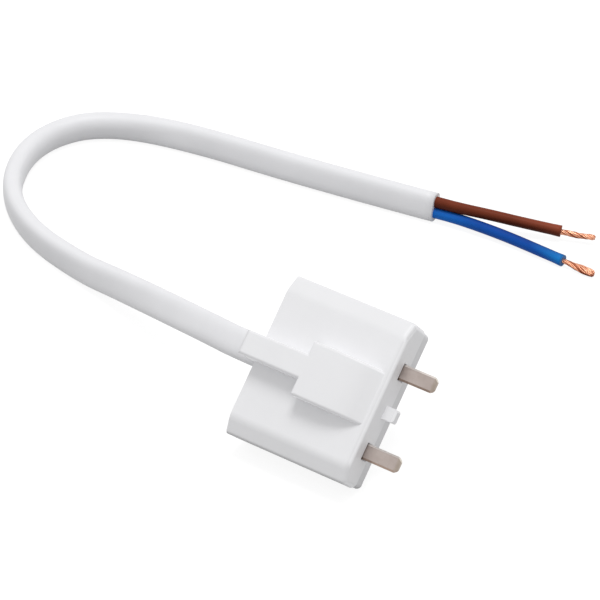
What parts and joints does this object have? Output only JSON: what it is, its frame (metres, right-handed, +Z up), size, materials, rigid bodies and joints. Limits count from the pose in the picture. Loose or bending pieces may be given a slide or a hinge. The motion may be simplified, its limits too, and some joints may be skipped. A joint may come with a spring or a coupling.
{
  "type": "plug with lead",
  "caption": "flat white plug with two plated blades, a moulded key between them, a raised cable block and a short flat lead with stripped brown and blue cores",
  "frame": {"origin": "on the table, under the middle of the plug without its lead", "axes": "+X the way the blades point, +Z up, +Y towards the back of the plug's underside; the plug leans on its long lower edge"},
  "size_m": [0.1434, 0.1109, 0.0309],
  "materials": {
    "housing": "white moulded plastic with a satin skin",
    "blade": "plated brass strip, dull silver with a warm tint",
    "sheath": "soft white sheath",
    "brown_core": "brown insulation",
    "blue_core": "blue insulation",
    "copper": "twisted bare copper strands"
  },
  "bodies": {
    "root": {"cover": "housing", "base": "housing", "live_blade": "blade", "neutral_blade": "blade", "lead_sheath": "sheath", "live_core_end": "brown_core", "neutral_core_end": "blue_core", "live_strands": "copper", "neutral_strands": "copper", "live_core_tail": "brown_core", "neutral_core_tail": "blue_core", "live_crimp_strands": "copper", "neutral_crimp_strands": "copper"}
  },
  "joints": []
}
